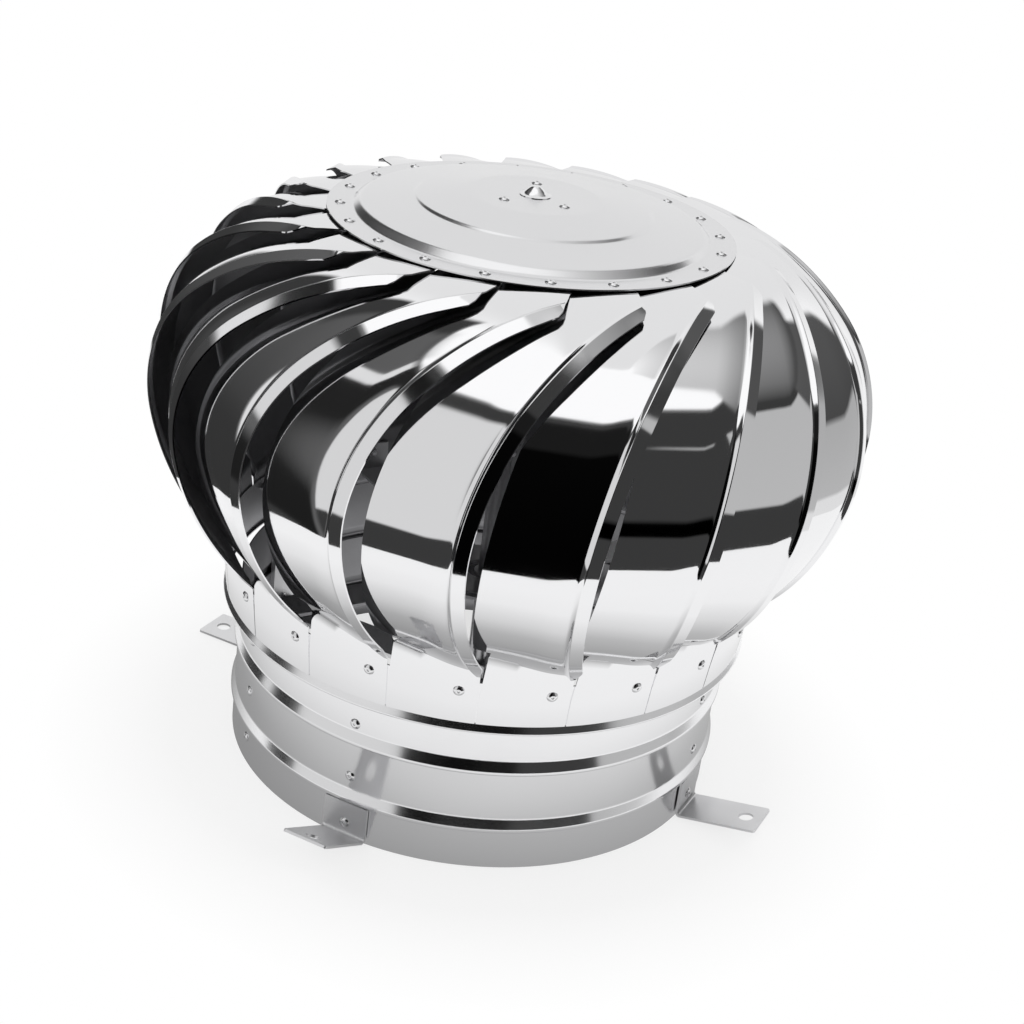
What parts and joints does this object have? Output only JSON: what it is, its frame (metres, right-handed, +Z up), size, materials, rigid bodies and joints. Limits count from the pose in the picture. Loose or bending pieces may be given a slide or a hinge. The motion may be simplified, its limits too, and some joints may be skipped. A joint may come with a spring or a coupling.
{
  "type": "roof turbine ventilator",
  "caption": "Wind-driven roof turbine ventilator: a rotor of swept polished vanes with a riveted cap turns on a fixed shaft above a round throat collar with foot brackets.",
  "frame": {"origin": "centre of the throat collar's lower edge, on the rotor's axis", "axes": "+Z up along the rotor's axis, +X to the right of the pictured front, which faces -Y"},
  "size_m": [0.424, 0.424, 0.3574],
  "materials": {
    "vane_sheet": "polished stainless sheet",
    "cap_sheet": "softly polished stainless sheet",
    "ring_sheet": "polished stainless sheet",
    "collar_sheet": "polished stainless sheet",
    "bracket_strap": "satin stainless strap",
    "brace_strap": "satin stainless strap",
    "rivets": "domed blind rivets",
    "plug": "polished domed plug",
    "bearing_steel": "ground bearing steel",
    "cup_sheet": "pressed stainless sheet",
    "hardware": "plain steel"
  },
  "bodies": {
    "base": {"collar_seam_rivets": "rivets", "cross_bar_rivets": "rivets", "foot_bracket_back_left": "bracket_strap", "foot_bracket_back_right": "bracket_strap", "foot_bracket_front_left": "bracket_strap", "foot_bracket_front_right": "bracket_strap", "foot_bracket_rivets": "rivets", "lower_bearing_inner_ring": "bearing_steel", "lower_cross_bar": "brace_strap", "shaft": "hardware", "shaft_circlips": "hardware", "shaft_lower_nut": "hardware", "shaft_upper_nut": "hardware", "shaft_washers": "hardware", "throat_collar": "collar_sheet", "upper_bearing_inner_ring": "bearing_steel", "upper_cross_bar": "brace_strap"},
    "rotor": {"cap_rivets": "rivets", "centre_plug": "plug", "lower_bearing_cup": "cup_sheet", "lower_bearing_outer_ring": "bearing_steel", "lower_cup_rivets": "rivets", "rotor_brace": "brace_strap", "rotor_brace_rivets": "rivets", "rotor_ring": "ring_sheet", "rotor_ring_rivets": "rivets", "top_cap": "cap_sheet", "upper_bearing_cup": "cup_sheet", "upper_bearing_outer_ring": "bearing_steel", "upper_cup_rivets": "rivets", "vane_01": "vane_sheet", "vane_02": "vane_sheet", "vane_03": "vane_sheet", "vane_04": "vane_sheet", "vane_05": "vane_sheet", "vane_06": "vane_sheet", "vane_07": "vane_sheet", "vane_08": "vane_sheet", "vane_09": "vane_sheet", "vane_10": "vane_sheet", "vane_11": "vane_sheet", "vane_12": "vane_sheet", "vane_13": "vane_sheet", "vane_14": "vane_sheet", "vane_15": "vane_sheet", "vane_16": "vane_sheet", "vane_17": "vane_sheet", "vane_18": "vane_sheet", "vane_19": "vane_sheet", "vane_20": "vane_sheet"}
  },
  "joints": [
    {"name": "rotor_spin", "type": "hinge", "parent": "base", "child": "rotor", "pos_m": [0, 0, 0.3445], "axis": [0, 0, 1], "continuous": true}
  ]
}
